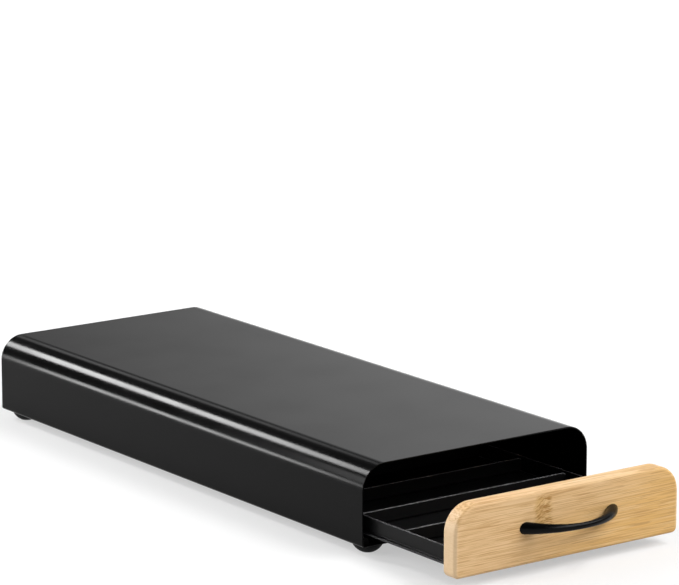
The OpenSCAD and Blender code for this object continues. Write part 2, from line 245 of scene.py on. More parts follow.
# Short level dashes on its right, with pale gaps
SHORT_SCALE = (190.0, 190.0, 1700.0)
SHORT_SHIFT = (2.2, 0.0, 6.1)
SHORT_X = 2.9 * MM
SHORT_WIDE = (1.6 * MM, 4.8 * MM)
SHORTS = (0.48, 0.55)
GAPS = (0.47, 0.40)
TINT_STRENGTH = 0.55
GAP_STRENGTH = 0.45
STROKE_STRENGTH = 0.92
# The streak at its top runs on to the right: slope, height, half height, the fades of its start
# and its end, and how the veins break it up
STREAK_SLOPE = 0.045
STREAK_Z = 8.3 * MM
STREAK_TALL = (0.2 * MM, 1.3 * MM)
STREAK_START = (-2.0 * MM, 4.0 * MM)
STREAK_END = (22.0 * MM, 46.0 * MM)
STREAK_BREAKS = (0.36, 0.56, 0.35, 1.0)
STREAK_STRENGTH = 0.65
# The board is paler and plainer towards its ends, from the first distance to the board's end to the
# second
END_FADE = (3.2 * MM, 0.6 * MM)
END_STRENGTH = 0.8

# Colours of zinc plate
ZINC_COLD = (0.60, 0.60, 0.62, 1.0)
ZINC_WARM = (0.72, 0.71, 0.68, 1.0)

# Floor: half its width, its level and its grey. Its glow grows from the first strength to the
# second between two distances.
FLOOR_HALF = 12.0
FLOOR_Z = -0.02 * MM
FLOOR_GREY = (0.43, 0.43, 0.43, 1.0)
GLOW_RANGE = (0.35, 1.3)
GLOW_STRENGTH = (0.48, 1.0)
WHITE = (1.0, 1.0, 1.0, 1.0)

# The pale card in the dim room: its direction, the cosines of its soft edge, and both levels
CARD_WAY = Vector((0.875, 0.485, 0.2)).normalized()
CARD_EDGE = (0.83, 0.96)
ROOM_LIGHT = 0.16
CARD_LIGHT = 1.23


# ---- Meshes ----


def quarter(steps):
    """The angles of a quarter turn in even steps."""
    return [math.pi / 2 * k / steps for k in range(steps + 1)]


def left_of(v):
    """The 2D direction a quarter turn to the left of v."""
    return Vector((-v.y, v.x))


def turned(v, angle):
    """The 2D vector v turned by an angle."""
    return Matrix.Rotation(angle, 2) @ v


def strip_stations(path, thickness, radii, steps):
    """Pairs of points on the two faces of a folded strip, at each step of its centre line."""
    corners = [Vector(p) for p in path]
    half = thickness / 2
    pairs = []

    def put(point, normal):
        pairs.append((point + normal * half, point - normal * half))

    for i, corner in enumerate(corners):
        if i == 0:
            put(corner, left_of((corners[1] - corner).normalized()))
            continue
        before = (corner - corners[i - 1]).normalized()
        if i == len(corners) - 1:
            put(corner, left_of(before))
            continue
        after = (corners[i + 1] - corner).normalized()
        turn = math.atan2(before.x * after.y - before.y * after.x, before.dot(after))
        side = 1.0 if turn > 0 else -1.0
        radius = radii[i - 1]
        normal = left_of(before)
        if abs(turn) < STRAIGHT:
            put(corner, normal)
            continue
        start = corner - before * radius * math.tan(abs(turn) / 2)
        centre = start + normal * side * radius
        for k in range(steps + 1):
            way = turned(normal, turn * k / steps)
            put(centre - way * side * radius, way)
    return pairs


def tip_stations(pair, inner, radius, steps):
    """Stations that round off the corner of a strip's free end, with how far each is set in."""
    run = ((inner[0] + inner[1]) - (pair[0] + pair[1])).normalized()
    rounded = []
    for angle in quarter(steps)[:-1]:
        along = run * radius * (1 - math.cos(angle))
        rounded.append((pair[0] + along, pair[1] + along, radius * (1 - math.sin(angle))))
    along = run * radius
    rounded.append((pair[0] + along, pair[1] + along, 0.0))
    return rounded


PLACE = {
    "x": lambda u, v, w: Vector((w, u, v)),
    "y": lambda u, v, w: Vector((u, w, v)),
    "z": lambda u, v, w: Vector((u, v, w)),
}


def mesh_from(name, verts, faces):
    """A mesh object with its faces turned outwards."""
    mesh = bpy.data.meshes.new(name)
    mesh.from_pydata([tuple(v) for v in verts], [], faces)
    made = bmesh.new()
    made.from_mesh(mesh)
    bmesh.ops.remove_doubles(made, verts=made.verts, dist=TINY)
    bmesh.ops.recalc_face_normals(made, faces=made.faces)
    made.to_mesh(mesh)
    made.free()
    piece = bpy.data.objects.new(name, mesh)
    bpy.context.scene.collection.objects.link(piece)
    return piece


def station_mesh(name, stations, axis, start, end):
    """Stretches the stations of a strip along an axis. Each is (left, right, inset)."""
    place = PLACE[axis]
    verts = []
    for left, right, inset in stations:
        for point in (left, right):
            verts.append(place(point.x, point.y, start + inset))
        for point in (left, right):
            verts.append(place(point.x, point.y, end - inset))
    faces = [(0, 1, 3, 2)]
    for i in range(len(stations) - 1):
        a, b = 4 * i, 4 * i + 4
        faces += [(a, b, b + 2, a + 2), (a + 1, b + 1, b + 3, a + 3)]
        faces += [(a, b, b + 1, a + 1), (a + 2, b + 2, b + 3, a + 3)]
    last = 4 * (len(stations) - 1)
    faces.append((last, last + 1, last + 3, last + 2))
    return mesh_from(name, verts, faces)


def folded_strip(name, path, thickness, radii, axis, span, corner=0.0, steps=BEND_STEPS):
    """A strip folded along a 2D path and stretched along an axis, with its free corners rounded."""
    pairs = strip_stations(path, thickness, radii, steps)
    stations = [(left, right, 0.0) for left, right in pairs]
    if corner:
        head = tip_stations(pairs[0], pairs[1], corner, BEND_STEPS)
        tail = tip_stations(pairs[-1], pairs[-2], corner, BEND_STEPS)
        stations = head + stations[1:-1] + tail[::-1]
    return station_mesh(name, stations, axis, span[0], span[1])


def soften(piece, width=EDGE_R, segments=3, angle=SHARP):
    """Rounds the sharp edges of a mesh by a small radius."""
    made = bmesh.new()
    made.from_mesh(piece.data)
    sharp = [e for e in made.edges
             if len(e.link_faces) == 2 and e.calc_face_angle(0.0) > math.radians(angle)]
    bmesh.ops.bevel(made, geom=sharp, offset=width, offset_type="OFFSET", segments=segments,
                    profile=0.5, affect="EDGES", clamp_overlap=True)
    made.to_mesh(piece.data)
    made.free()
    return piece


def combined(piece, tools, operation):
    """Joins or cuts a piece by others, which are used up."""
    for tool in tools:
        cut = piece.modifiers.new("Cut", "BOOLEAN")
        cut.operation = operation
        cut.solver = "EXACT"
        cut.object = tool
    bpy.context.view_layer.update()
    whole = piece.evaluated_get(bpy.context.evaluated_depsgraph_get())
    mesh = bpy.data.meshes.new_from_object(whole)
    piece.modifiers.clear()
    piece.data = mesh
    for tool in tools:
        bpy.data.objects.remove(tool)
    return piece


def joined(name, parts):
    """One object from separate parts, each already in place."""
    made = bmesh.new()
    for part in parts:
        made.from_mesh(part.data)
        bpy.data.objects.remove(part)
    mesh = bpy.data.meshes.new(name)
    made.to_mesh(mesh)
    made.free()
    piece = bpy.data.objects.new(name, mesh)
    bpy.context.scene.collection.objects.link(piece)
    return piece


def lathe(name, profile, place):
    """Turns a profile of (radius, height) round an axis. place puts (u, v, height) in the frame."""
    steps = LATHE_STEPS
    verts = []
    faces = []
    rings = []
    for radius, height in profile:
        if radius < TINY:
            rings.append([len(verts)])
            verts.append(place(0.0, 0.0, height))
            continue
        rings.append(list(range(len(verts), len(verts) + steps)))
        for k in range(steps):
            angle = 2 * math.pi * k / steps
            verts.append(place(radius * math.cos(angle), radius * math.sin(angle), height))
    for low, high in zip(rings, rings[1:]):
        for k in range(steps):
            face = [low[k % len(low)], low[(k + 1) % len(low)],
                    high[(k + 1) % len(high)], high[k % len(high)]]
            faces.append(tuple(dict.fromkeys(face)))
    return mesh_from(name, verts, faces)


def loft(name, rings):
    """Skins a row of rings of points and caps its ends."""
    count = len(rings[0])
    verts = [point for ring in rings for point in ring]
    last = len(rings) - 1
    faces = [tuple(range(count)), tuple(range(last * count, (last + 1) * count))]
    for i in range(last):
        near = i * count
        far = near + count
        for k in range(count):
            n = (k + 1) % count
            faces.append((near + k, near + n, far + n, far + k))
    return mesh_from(name, verts, faces)


def block(low, high):
    """A box between two corners, used to cut or join."""
    corners = [(x, y, z) for x in (low[0], high[0]) for y in (low[1], high[1])
               for z in (low[2], high[2])]
    faces = [(0, 1, 3, 2), (4, 5, 7, 6), (0, 1, 5, 4), (2, 3, 7, 6), (0, 2, 6, 4),
             (1, 3, 7, 5)]
    return mesh_from("block", corners, faces)


def rounded_outline(half_w, low, high, low_r, top_r, inset, steps):
    """Outline in X and Z with round corners, drawn inwards by inset."""
    corners = [(half_w, high, top_r, 0.0), (-half_w, high, top_r, 90.0),
               (-half_w, low, low_r, 180.0), (half_w, low, low_r, 270.0)]
    points = []
    for x, z, radius, first in corners:
        cx = x - math.copysign(radius, x)
        cz = z - radius if z == high else z + radius
        for k in range(steps + 1):
            angle = math.radians(first + 90.0 * k / steps)
            points.append((cx + (radius - inset) * math.cos(angle),
                           cz + (radius - inset) * math.sin(angle)))
    return points


def along_y(x, y, z):
    """Places a lathe's axis along +Y from a point."""
    return lambda u, v, h: Vector((x + u, y + h, z + v))


def along_z(x, y, z):
    """Places a lathe's axis along +Z from a point."""
    return lambda u, v, h: Vector((x + u, y + v, z + h))


def bore(x, y, z, diameter, length):
    """A round cutter along +Y that starts at y."""
    return lathe("bore", [(0.0, 0.0), (diameter / 2, 0.0), (diameter / 2, length), (0.0, length)],
                 along_y(x, y, z))


def finish(piece, body, slot, material, *nodes):
    """Shades a piece, gives it its material and hangs it on its body in place of its nodes."""
    for face in piece.data.polygons:
        face.use_smooth = True
    weighted = piece.modifiers.new("Normals", "WEIGHTED_NORMAL")
    weighted.weight = 100
    piece.data.materials.clear()
    piece.data.materials.append(material)
    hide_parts(*nodes)
    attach(piece, body)
    return piece


# ---- Material nodes ----


class Material:
    """A Principled material with short calls for the nodes that feed it."""

    def __init__(self, name):
        self.material = bpy.data.materials.new(name)
        self.material.use_nodes = True
        self.tree = self.material.node_tree
        self.shader = self.tree.nodes["Principled BSDF"]
        coordinates = self.tree.nodes.new("ShaderNodeTexCoord")
        self.here = coordinates.outputs["Object"]

    def feed(self, target, value):
        """Links a socket, or sets a plain value."""
        if isinstance(value, bpy.types.NodeSocket):
            self.tree.links.new(value, target)
        else:
            target.default_value = value

    def settings(self, **values):
        """Sets the shader's own sockets. Underscores stand for spaces."""
        for key, value in values.items():
            self.feed(self.shader.inputs[key.replace("_", " ")], value)

    def scaled(self, scale, shift=(0.0, 0.0, 0.0), vector=None):
        """A place with each axis scaled, so that noise read there is stretched."""
        node = self.tree.nodes.new("ShaderNodeMapping")
        self.feed(node.inputs["Vector"], self.here if vector is None else vector)
        node.inputs["Scale"].default_value = scale
        node.inputs["Location"].default_value = shift
        return node.outputs["Vector"]

    def noise(self, vector, scale=1.0, detail=2.0, roughness=0.5):
        """Noise from 0 to 1."""
        node = self.tree.nodes.new("ShaderNodeTexNoise")
        self.feed(node.inputs["Vector"], vector)
        node.inputs["Scale"].default_value = scale
        node.inputs["Detail"].default_value = detail
        node.inputs["Roughness"].default_value = roughness
        return node.outputs["Fac"]

    def math(self, operation, a, b=0.0, clamp=False):
        """Works out one or two values."""
        node = self.tree.nodes.new("ShaderNodeMath")
        node.operation = operation
        node.use_clamp = clamp
        self.feed(node.inputs[0], a)
        self.feed(node.inputs[1], b)
        return node.outputs[0]

    def plus(self, a, b):
        """a + b"""
        return self.math("ADD", a, b)

    def less(self, a, b):
        """a - b"""
        return self.math("SUBTRACT", a, b)

    def times(self, a, b):
        """a * b"""
        return self.math("MULTIPLY", a, b)

    def size(self, a):
        """a without its sign"""
        return self.math("ABSOLUTE", a)

    def span(self, value, low, high, to_low=0.0, to_high=1.0):
        """Maps a value smoothly from one range to another, and stays within it."""
        node = self.tree.nodes.new("ShaderNodeMapRange")
        node.interpolation_type = "SMOOTHSTEP"
        self.feed(node.inputs["Value"], value)
        for key, number in (("From Min", low), ("From Max", high),
                            ("To Min", to_low), ("To Max", to_high)):
            self.feed(node.inputs[key], number)
        return node.outputs["Result"]

    def within(self, value, fade):
        """1 up to the first bound of fade and 0 beyond its second."""
        inner, outer = fade
        return self.span(value, outer, inner)

    def mix(self, factor, a, b):
        """The colour a, or b where the factor is 1."""
        node = self.tree.nodes.new("ShaderNodeMix")
        node.data_type = "RGBA"
        self.feed(node.inputs["Factor"], factor)
        self.feed(node.inputs[6], a)
        self.feed(node.inputs[7], b)
        return node.outputs[2]

    def axes(self):
        """X, Y and Z of the place."""
        node = self.tree.nodes.new("ShaderNodeSeparateXYZ")
        self.feed(node.inputs[0], self.here)
        return node.outputs[0], node.outputs[1], node.outputs[2]

    def place(self, x, y, z):
        """A place put together from its X, Y and Z."""
        node = self.tree.nodes.new("ShaderNodeCombineXYZ")
        for socket, value in zip(node.inputs, (x, y, z)):
            self.feed(socket, value)
        return node.outputs[0]

    def bump(self, height, distance, strength=1.0):
        """A normal that follows a height."""
        node = self.tree.nodes.new("ShaderNodeBump")
        node.inputs["Distance"].default_value = distance
        node.inputs["Strength"].default_value = strength
        self.feed(node.inputs["Height"], height)
        return node.outputs["Normal"]

    def edges(self, radius):
        """1 on the edges of the form and 0 on its faces, within a radius."""
        bevel = self.tree.nodes.new("ShaderNodeBevel")
        bevel.samples = EDGE_SAMPLES
        bevel.inputs["Radius"].default_value = radius
        plain = self.tree.nodes.new("ShaderNodeNewGeometry")
        dot = self.tree.nodes.new("ShaderNodeVectorMath")
        dot.operation = "DOT_PRODUCT"
        self.feed(dot.inputs[0], bevel.outputs["Normal"])
        self.feed(dot.inputs[1], plain.outputs["Normal"])
        return self.span(dot.outputs["Value"], *EDGE_COSINES)


def grey(level):
    """A black or grey with a trace of blue."""
    return (level, level, level * 1.04, 1.0)


def paint(name, level, roughness, peel, peel_scale, ior, wear_and_sheen_level, edge_r=0.5 * MM, spared=None):
    """Powder coat: an orange-peel skin, faint cloudy gloss and a thin lighter line on the edges,
    which is faint wear and, where it is strong as on the tray, a painted highlight.

    spared is the lowest and highest point of a band where the edges are not painted lighter.
    """
    m = Material(name)
    cloud = m.noise(m.here, scale=CLOUD_SCALE, detail=3.0)
    speck = m.noise(m.here, scale=peel_scale, detail=2.0, roughness=0.6)
    edge = m.edges(edge_r)
    fleck = m.noise(m.here, scale=FLECK_SCALE, detail=2.0)
    # The lighter edge line: faint wear, and on the tray a painted highlight along its rim and lower
    # fold
    wear_and_sheen_mask = m.times(edge, m.span(fleck, *FLECKS))
    if spared:
        below, above = spared
        z = m.axes()[2]
        fold_and_rim_band = m.math("MAXIMUM", m.span(z, below + SPARED_FADE, below),
                      m.span(z, above - SPARED_FADE, above))
        wear_and_sheen_mask = m.times(wear_and_sheen_mask, fold_and_rim_band)
    dull, bright = CLOUD_SWAY
    m.settings(
        Base_Color=m.mix(wear_and_sheen_mask, grey(level), grey(level + wear_and_sheen_level)),
        Roughness=m.span(cloud, *NOISE_RANGE, roughness * dull, roughness * bright),
        IOR=ior,
        Normal=m.bump(speck, peel),
    )
    return m.material


def drifting(m, x, y, z):
    """The place in the wood, for fibres that drift a little on their way along X."""
    sway = m.noise(m.scaled(SWAY_SCALE), detail=1.0)
    return m.place(x, y, m.plus(z, m.times(m.less(sway, 0.5), SWAY)))


def grain_noises(m, way):
    """The noises of the grain, by name."""
    return {
        "band": m.noise(m.scaled(BAND_SCALE, vector=way), detail=2.0),
        "vein": m.noise(m.scaled(VEIN_SCALE, vector=way), detail=1.0),
        "dash": m.noise(m.scaled(DASH_SCALE, DASH_SHIFT, way), detail=1.0),
        "hair": m.noise(m.scaled(HAIR_SCALE, vector=way), detail=2.0, roughness=0.6),
    }


def plain_bamboo(m, x, z, grain):
    """Sand that turns to honey, under the layers of grain."""
    hue = m.noise(m.scaled(HUE_SCALE), detail=1.0)
    across = m.plus(m.times(hue, HUE_SHARE), m.times(x, HONEY_SLOPE_X))
    warm = m.less(across, m.times(m.less(z, HONEY_Z), HONEY_SLOPE_Z))
    colour = m.mix(m.span(warm, *HONEY_FADE), SAND, HONEY)
    for name, start, full, strength, tone in GRAIN_LAYERS:
        colour = m.mix(m.span(grain[name], start, full, 0.0, strength), colour, tone)
    return colour


def knuckle(m, colour, axes, u, v, front):
    """Golden tint, leaning smudges on the left and level dashes on the right.

    u and v start at the knuckle's middle. Gives the colour, and where the strokes are.
    """
    x, y, z = axes
    waver = m.less(m.noise(m.scaled(WAVER_SCALE), detail=2.0), 0.5)
    column = m.plus(u, m.times(waver, WAVER))
    tall = m.times(m.within(m.size(v), KNUCKLE_TALL), front)
    lean = m.place(x, y, m.less(z, m.times(u, SMUDGE_LEAN)))
    smudge = m.noise(m.scaled(SMUDGE_SCALE, SMUDGE_SHIFT, lean), detail=2.0, roughness=0.6)
    left = m.size(m.plus(column, m.less(SMUDGE_X, m.times(v, SMUDGE_SLOPE))))
    left = m.times(m.within(left, SMUDGE_WIDE), m.span(smudge, *SMUDGES))
    short = m.noise(m.scaled(SHORT_SCALE, SHORT_SHIFT), detail=1.0)
    right = m.within(m.size(m.less(column, SHORT_X)), SHORT_WIDE)
    gap = m.times(m.times(right, m.span(short, *GAPS)), tall)
    right = m.times(right, m.span(short, *SHORTS))
    stroke = m.times(m.math("MAXIMUM", left, right), tall)
    tint = m.times(m.within(m.size(column), KNUCKLE_WIDE), tall)
    colour = m.mix(m.times(tint, TINT_STRENGTH), colour, KNUCKLE_TINT)
    colour = m.mix(m.times(gap, GAP_STRENGTH), colour, PALE)
    return m.mix(m.times(stroke, STROKE_STRENGTH), colour, KNUCKLE_DARK), stroke


def streak(m, colour, u, v, front, vein):
    """The thin dark streak that starts at the top of the knuckle and fades out on the right."""
    rise = m.less(v, m.times(u, STREAK_SLOPE))
    line = m.within(m.size(m.less(rise, STREAK_Z)), STREAK_TALL)
    line = m.times(line, m.span(u, *STREAK_START))
    line = m.times(line, m.within(u, STREAK_END))
    line = m.times(line, m.span(vein, *STREAK_BREAKS))
    line = m.times(line, front)
    return m.mix(m.times(line, STREAK_STRENGTH), colour, STREAK_DARK)


def bamboo_material():
    """Lacquered bamboo: straight fibres along X, soft growth bands, and one golden knuckle."""
    m = Material("bamboo")
    axes = m.axes()
    x, y, z = axes
    low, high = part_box("bamboo_front")
    grain = grain_noises(m, drifting(m, x, y, z))
    vein = grain["vein"]
    colour = plain_bamboo(m, x, z, grain)
    u = m.less(x, KNUCKLE_X)
    v = m.less(z, low.z + KNUCKLE_Z)
    front = m.within(m.less(y, low.y), KNUCKLE_DEEP)
    colour, stroke = knuckle(m, colour, axes, u, v, front)
    colour = streak(m, colour, u, v, front, vein)
    ends = m.span(m.size(x), high.x - END_FADE[0], high.x - END_FADE[1])
    colour = m.mix(m.times(ends, END_STRENGTH), colour, END_PALE)
    height = m.plus(m.times(vein, 0.5), m.times(grain["hair"], 0.5))
    height = m.less(height, m.times(stroke, 0.4))
    m.settings(
        Base_Color=colour,
        Roughness=m.span(vein, *NOISE_RANGE, 0.38, 0.48),
        IOR=1.33,
        Normal=m.bump(height, 0.04 * MM, 0.6),
    )
    return m.material


def rubber_material():
    """Matte black rubber with a fine grain and a faint bloom."""
    m = Material("rubber")
    grain = m.noise(m.here, scale=RUBBER_GRAIN, detail=2.0)
    bloom = m.noise(m.here, scale=RUBBER_BLOOM, detail=3.0)
    m.settings(
        Base_Color=m.mix(m.span(bloom, 0.35, 0.7), grey(0.004), grey(0.009)),
        Roughness=m.span(bloom, *NOISE_RANGE, 0.55, 0.7),
        IOR=1.2,
        Normal=m.bump(grain, 0.03 * MM),
    )
    return m.material


def zinc_material():
    """Bright zinc plate with soft clouds."""
    m = Material("zinc")
    grain = m.noise(m.here, scale=ZINC_GRAIN, detail=2.0)
    cloud = m.noise(m.here, scale=ZINC_CLOUD, detail=2.0)
    m.settings(
        Base_Color=m.mix(m.span(cloud, 0.35, 0.65), ZINC_COLD, ZINC_WARM),
        Metallic=1.0,
        Roughness=m.span(cloud, *NOISE_RANGE, 0.24, 0.38),
        Normal=m.bump(grain, 0.01 * MM),
    )
    return m.material


TRAY_LOW, TRAY_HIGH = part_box("tray")
TRAY_SPARED = (TRAY_LOW.z + FOLD_SHEEN_BAND, TRAY_HIGH.z - RIM_SHEEN_BAND)
GLOSS = paint("gloss_black", level=0.001, roughness=0.18, peel=0.006 * MM, peel_scale=420.0,
              ior=1.155, wear_and_sheen_level=0.01)
SATIN = paint("inner_black", level=0.004, roughness=0.34, peel=0.03 * MM, peel_scale=900.0,
              ior=1.3, wear_and_sheen_level=0.01)
# The tray's much lighter edges are a painted highlight along its rim and lower fold
TRAY_PAINT = paint("tray_black", level=0.005, roughness=0.40, peel=0.035 * MM, peel_scale=1100.0,
                   ior=1.175, wear_and_sheen_level=0.50, edge_r=1.0 * MM, spared=TRAY_SPARED)
HANDLE_PAINT = paint("handle_black", level=0.001, roughness=0.24, peel=0.008 * MM,
                     peel_scale=1400.0, ior=1.18, wear_and_sheen_level=0.004)
BAMBOO = bamboo_material()
RUBBER = rubber_material()
ZINC = zinc_material()


# ---- Housing ----


def housing_shell():
    """The bent cover: deck, two long top bends, walls and the flanges turned in below."""
    low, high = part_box("housing_shell")
    x = high.x - SHEET / 2
    base = low.z + SHEET / 2
    top = high.z - SHEET / 2
    tip = high.x - FLANGE_W
    path = [(-tip, base), (-x, base), (-x, top), (x, top), (x, base), (tip, base)]
    low_r = LOW_BEND_R - SHEET / 2
    top_r = TOP_BEND_R - SHEET / 2
    piece = folded_strip("housing_cover", path, SHEET, (low_r, top_r, top_r, low_r), "y",
                         (low.y, high.y), steps=LONG_BEND_STEPS)
    soften(piece, COVER_EDGE_R)
    finish(piece, "housing", "gloss_black", GLOSS, "housing_shell")


def back_panel():
    """A pressed pan with a flange all round, welded inside the rear of the cover."""
    low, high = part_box("back_panel")
    half_w = high.x - WELD_GAP
    base = low.z + WELD_GAP
    roof = high.z - WELD_GAP
    top_r = TOP_BEND_R - SHEET - WELD_GAP
    rings = []

    def ring(inset, y):
        outline = rounded_outline(half_w, base, roof, PANEL_LOW_R, top_r, inset, BEND_STEPS)
        rings.append([Vector((px, y, pz)) for px, pz in outline])

    ring(0.0, low.y)
    for angle in quarter(BEND_STEPS):
        ring(PANEL_BEND_R * (1 - math.cos(angle)), high.y - PANEL_BEND_R * (1 - math.sin(angle)))
    outside = len(rings)
    inner_r = PANEL_BEND_R - PANEL_SHEET
    for angle in reversed(quarter(BEND_STEPS)):
        ring(PANEL_SHEET + inner_r * (1 - math.cos(angle)),
             high.y - PANEL_SHEET - inner_r * (1 - math.sin(angle)))
    ring(PANEL_SHEET, low.y)
    # From the inside of the plate round the flange's rim to the plate's outside
    piece = loft("back_pan", rings[outside:] + rings[:outside])
    soften(piece, EDGE_R, angle=PAN_SHARP)
    finish(piece, "housing", "inner_black", SATIN, "back_panel")


def braces():
    """Two shallow channels across the bottom flanges."""
    t = PANEL_SHEET
    bend = PANEL_BEND_R - t / 2
    for node in ("front_brace", "rear_brace"):
        low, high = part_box(node)
        near = low.y + t / 2
        far = high.y - t / 2
        web = low.z + t / 2 + WELD_GAP
        path = [(near, high.z), (near, web), (far, web), (far, high.z)]
        piece = folded_strip(node + "_channel", path, t, (bend, bend), "x", (low.x, high.x),
                             corner=BRACE_CORNER_R)
        finish(soften(piece), "housing", "inner_black", SATIN, node)


def mirrored(path, side):
    """A path drawn for the right wall, or its mirror image for the left one."""
    return [(side * u, v) for u, v in path]


def reach(node):
    """The ends of a node on one wall, and its near and far distance from the housing's middle.

    The far one leaves a hair of room at the weld.
    """
    low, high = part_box(node)
    near, far = sorted((abs(low.x), abs(high.x)))
    return low, high, near, far - WELD_GAP


def runners_and_keepers():
    """On each wall, the ledge that carries the tray's lip and the angle that keeps it down."""
    t = RAIL_T
    for side, word in ((-1, "left"), (1, "right")):
        low, high, foot, wall = reach(word + "_runner")
        leg = wall - t / 2
        stem = foot + RUNNER_FOOT_W - t / 2
        ledge = high.z - t / 2
        base = low.z + t / 2 + WELD_GAP
        path = [(leg, low.z + RUNNER_LEG_LIFT), (leg, ledge), (stem, ledge), (stem, base),
                (foot, base)]
        piece = folded_strip(word + "_ledge", mirrored(path, side), t, (RAIL_BEND,) * 3, "y",
                             (low.y, high.y), corner=RAIL_CORNER_R)
        finish(soften(piece), "housing", "inner_black", SATIN, word + "_runner")

        low, high, tip, wall = reach(word + "_keeper")
        leg = wall - t / 2
        cover = low.z + t / 2
        path = [(leg, high.z), (leg, cover), (tip, cover)]
        piece = folded_strip(word + "_angle", mirrored(path, side), t, (RAIL_BEND,), "y",
                             (low.y, high.y), corner=RAIL_CORNER_R)
        finish(soften(piece), "housing", "inner_black", SATIN, word + "_keeper")


def stops():
    """Brackets on the keepers that catch the tray's ears at full pull."""
    t = RAIL_T
    for side, word in ((-1, "left"), (1, "right")):
        low, high, tab, wall = reach(word + "_stop")
        plate = wall - t / 2
        path = [(plate, low.y), (plate, high.y - t / 2), (tab, high.y - t / 2)]
        piece = folded_strip(word + "_bracket", mirrored(path, side), t, (RAIL_BEND,), "z",
                             (low.z, high.z), corner=STOP_CORNER_R)
        finish(soften(piece), "housing", "inner_black", SATIN, word + "_stop")


def dome_profile(diameter, flat, height):
    """Half section of a domed bumper, from its flat tip up to its glued face."""
    radius = diameter / 2
    middle = (radius ** 2 - flat ** 2 / 4 + height ** 2) / (2 * height)
    ball = math.hypot(flat / 2, middle)
    profile = [(0.0, 0.0), (flat / 2 - DOME_RIM, 0.0)]
    for k in range(1, DOME_STEPS + 1):
        h = (height - DOME_RIM) * (k / DOME_STEPS) ** DOME_SPREAD
        profile.append((math.sqrt(ball ** 2 - (middle - h) ** 2), h))
    inwards, down = DOME_BEVEL
    profile += [(radius - inwards, height - down), (radius - DOME_RIM, height), (0.0, height)]
    return profile


def feet_and_bumpers():
    """Four domed rubber feet under the flanges, and two bumpers inside the back panel."""
    for end in ("front", "rear"):
        for word in ("left", "right"):
            node = "foot_" + end + "_" + word
            low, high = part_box(node)
            middle = (low + high) / 2
            profile = dome_profile(high.x - low.x, FOOT_FLAT_D, high.z - low.z)
            piece = lathe(node + "_dome", profile, along_z(middle.x, middle.y, low.z))
            finish(piece, "housing", "rubber", RUBBER, node)
    for word in ("left", "right"):
        node = word + "_bumper"
        low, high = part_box(node)
        middle = (low + high) / 2
        profile = dome_profile(high.x - low.x, BUMPER_FLAT_D, high.y - low.y)
        piece = lathe(node + "_dome", profile, along_y(middle.x, low.y, middle.z))
        finish(piece, "housing", "rubber", RUBBER, node)


# ---- Drawer ----


def tray_folded(low, high, wall):
    """The tray's floor, double lips and side walls, from one sheet.

    The floor stops short of the end walls, which stand on tabs of their own.
    """
    half = TRAY_T / 2
    lip = wall + LIP_REACH
    floor_z = low.z + half
    upper = floor_z + TRAY_T
    inner = wall - TRAY_T
    path = [(-wall + half, high.z), (-wall + half, upper), (-lip + half, upper),
            (-lip + half, floor_z), (-inner, floor_z), (inner, floor_z), (lip - half, floor_z),
            (lip - half, upper), (wall - half, upper), (wall - half, high.z)]
    bends = (TRAY_BEND, half, half, 0.0, 0.0, half, half, TRAY_BEND)
    pairs = strip_stations(path, TRAY_T * HEM_FIT, bends, BEND_STEPS)
    stations = [(left, right, 0.0) for left, right in pairs]
    flat = [i for i, (left, right, _) in enumerate(stations)
            if abs(left.x) < wall and (left.y + right.y) / 2 < floor_z + half / 2]
    first, last = flat[0], flat[-1]
    short = [(left, right, END_WALL_BEND + half) for left, right, _ in stations[first:last + 1]]
    notched = stations[:first + 1] + short + stations[last:]
    return soften(station_mesh("tray_folded", notched, "y", low.y, high.y), TRAY_EDGE_R)


def tray_end_wall(near, inward, low, high, wall):
    """A front or rear wall bent up from the floor. near is its outer face."""
    half = TRAY_T / 2
    floor_z = low.z + half
    reach_x = wall - TRAY_T + END_WALL_LAP
    path = [(near + inward * half, high.z), (near + inward * half, floor_z),
            (near + inward * (END_WALL_BEND + END_TAB), floor_z)]
    part = folded_strip("end_wall", path, TRAY_T * HEM_FIT, (END_WALL_BEND,), "x",
                        (-reach_x, reach_x))
    return soften(part, FINE_EDGE_R, 2)


def tray_ear(side, high, wall):
    """An ear on the rear wall that meets the bracket on one side."""
    ear_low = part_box("left_stop")[0].z
    xs = sorted((side * (wall - TRAY_T / 2), side * high.x))
    part = block((xs[0], high.y - TRAY_T, ear_low), (xs[1], high.y, high.z - TRAY_T))
    return soften(part, TRAY_EDGE_R)


def tray():
    """The folded tray: floor, hemmed lips, walls, ears, and end walls bent up from the floor."""
    low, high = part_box("tray")
    t = TRAY_T
    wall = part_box("row_divider_1")[1].x + DIVIDER_GAP + t
    body = tray_folded(low, high, wall)
    parts = [tray_end_wall(near, inward, low, high, wall)
             for near, inward in ((low.y, 1.0), (high.y, -1.0))]
    parts += [tray_ear(side, high, wall) for side in (-1.0, 1.0)]
    combined(body, parts, "UNION")
    screw_z = (low.z + 2 * t + high.z) / 2
    for x in SCREW_XS:
        hole = bore(x, low.y - t, screw_z, SCREW_D + 2 * HOLE_GAP, 4 * t)
        combined(body, [hole], "DIFFERENCE")
    finish(body, "drawer", "tray_black", TRAY_PAINT, "tray")


def row_dividers():
    """Angle strips with rounded top corners, welded across the tray floor."""
    t = TRAY_T
    for node in sorted(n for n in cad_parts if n.startswith("row_divider_")):
        low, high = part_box(node)
        base = low.z + t / 2 + WELD_GAP
        path = [(low.y + t / 2, high.z), (low.y + t / 2, base), (high.y, base)]
        piece = folded_strip(node + "_strip", path, t, (DIVIDER_BEND,), "x", (low.x, high.x),
                             corner=DIVIDER_CORNER_R)
        finish(soften(piece, FINE_EDGE_R, 2), "drawer", "tray_black", TRAY_PAINT, node)


